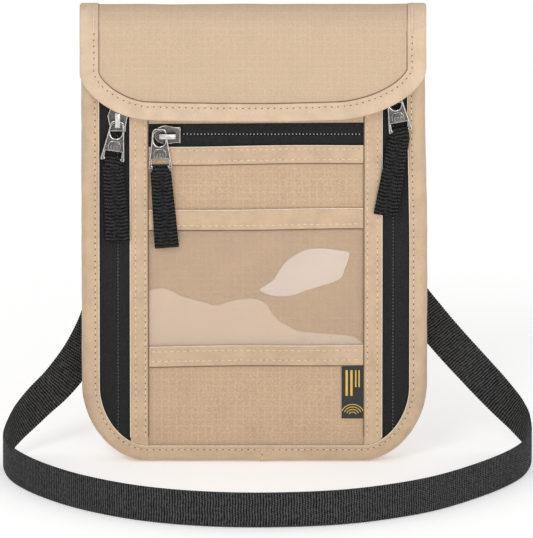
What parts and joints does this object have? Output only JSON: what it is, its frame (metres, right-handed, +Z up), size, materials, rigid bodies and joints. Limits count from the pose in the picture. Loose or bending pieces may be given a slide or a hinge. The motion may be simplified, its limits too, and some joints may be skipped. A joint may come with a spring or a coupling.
{
  "type": "neck pouch wallet",
  "caption": "Flat upright fabric pouch with a fold-over flap, two side zips and one cross zip, a clear front pocket, and a webbing neck strap.",
  "frame": {"origin": "middle of the pouch's base, in plan the middle of the pouch without its strap, on the surface that it stands on", "axes": "+Z up the pouch towards the flap's fold, -Y out of the front with the zips, +X to the right seen from the front"},
  "size_m": [0.2219, 0.1238, 0.1982],
  "materials": {
    "ripstop": "fine ripstop weave, matt",
    "binding_tape": "smooth folded binding tape with one stitch row",
    "lining": "plain woven lining",
    "foil_cloth": "metallised shielding cloth",
    "padding_foam": "thin foam padding",
    "clear_film": "clear flexible film",
    "zip_tape": "black woven zip tape",
    "webbing": "black ribbed webbing",
    "slider_metal": "antique nickel die casting, worn bright on its edges",
    "label_cloth": null,
    "hook_loop": "hook and loop tape",
    "moulded_plastic": "black moulded plastic"
  },
  "bodies": {
    "pouch": {"body_binding": "binding_tape", "back_panel": "ripstop", "back_padding": "padding_foam", "rfid_lining": "foil_cloth", "passport_divider": "lining", "front_wall": "lining", "upper_panel": "ripstop", "window_backing": "ripstop", "window_film": "clear_film", "lower_panel": "ripstop", "cross_pocket_bag": "lining", "front_top_panel": "ripstop", "pocket_top_tape": "binding_tape", "window_top_tape": "binding_tape", "window_bottom_tape": "binding_tape", "left_strip": "binding_tape", "right_strip": "binding_tape", "label_tag": "label_cloth", "loop_patch": "hook_loop", "left_zip_outer_half": "zip_tape", "left_zip_inner_half": "zip_tape", "left_zip_top_stop": "slider_metal", "right_zip_outer_half": "zip_tape", "right_zip_inner_half": "zip_tape", "right_zip_top_stop": "slider_metal", "cross_zip_upper_half": "zip_tape", "cross_zip_lower_half": "zip_tape", "neck_strap": "webbing", "strap_patch": "ripstop", "strap_ring": "moulded_plastic", "strap_hanger": "webbing", "strap_return": "webbing", "strap_adjuster": "moulded_plastic"},
    "flap_crown": {"flap_crown": "ripstop"},
    "flap": {"flap_binding": "binding_tape", "flap_shell": "ripstop", "flap_lining": "lining", "hook_patch": "hook_loop"},
    "left_slider": {"left_slider": "slider_metal"},
    "left_puller": {"left_puller": "slider_metal"},
    "left_tab": {"left_pull_tab": "webbing"},
    "right_slider": {"right_slider": "slider_metal"},
    "right_puller": {"right_puller": "slider_metal"},
    "right_tab": {"right_pull_tab": "webbing"},
    "cross_slider": {"cross_slider": "slider_metal"},
    "cross_puller": {"cross_puller": "slider_metal"},
    "cross_tab": {"cross_pull_tab": "webbing"}
  },
  "joints": [
    {"name": "crown_fold", "type": "hinge", "parent": "pouch", "child": "flap_crown", "pos_m": [0.00025, 0.0102, 0.1888], "axis": [-1, 0, 0], "range_deg": [0, 120]},
    {"name": "flap_fold", "type": "hinge", "parent": "flap_crown", "child": "flap", "pos_m": [0.00025, -0.0102, 0.1888], "axis": [-1, 0, 0], "range_deg": [0, 90]},
    {"name": "left_slider_travel", "type": "slide", "parent": "pouch", "child": "left_slider", "axis": [0, 0, -1], "range_m": [0, 0.126]},
    {"name": "left_puller_lift", "type": "hinge", "parent": "left_slider", "child": "left_puller", "pos_m": [-0.05695, -0.0053, 0.14815], "axis": [-1, 0, 0], "range_deg": [0, 100]},
    {"name": "left_tab_lift", "type": "hinge", "parent": "left_puller", "child": "left_tab", "pos_m": [-0.05911, -0.0053, 0.1324], "axis": [-0.9907, 0, 0.1357], "range_deg": [0, 60]},
    {"name": "right_slider_travel", "type": "slide", "parent": "pouch", "child": "right_slider", "axis": [0, 0, -1], "range_m": [0, 0.134]},
    {"name": "right_puller_swing", "type": "hinge", "parent": "right_slider", "child": "right_puller", "pos_m": [0.05835, -0.0053, 0.16045], "axis": [0, -1, 0], "range_deg": [-25, 8]},
    {"name": "right_tab_lift", "type": "hinge", "parent": "right_puller", "child": "right_tab", "pos_m": [0.06138, -0.0053, 0.14484], "axis": [-0.9816, 0, -0.1908], "range_deg": [0, 110]},
    {"name": "cross_slider_travel", "type": "slide", "parent": "pouch", "child": "cross_slider", "axis": [1, 0, 0], "range_m": [0, 0.074]},
    {"name": "cross_puller_swing", "type": "hinge", "parent": "cross_slider", "child": "cross_puller", "pos_m": [-0.03945, -0.0053, 0.1425], "axis": [0, -1, 0], "range_deg": [-6, 30]},
    {"name": "cross_tab_lift", "type": "hinge", "parent": "cross_puller", "child": "cross_tab", "pos_m": [-0.03909, -0.0053, 0.12895], "axis": [-0.9997, 0, -0.0262], "range_deg": [0, 110]}
  ],
  "couplings": [
    {"joint": "flap_fold", "follows": "crown_fold", "ratio": 0.75}
  ]
}
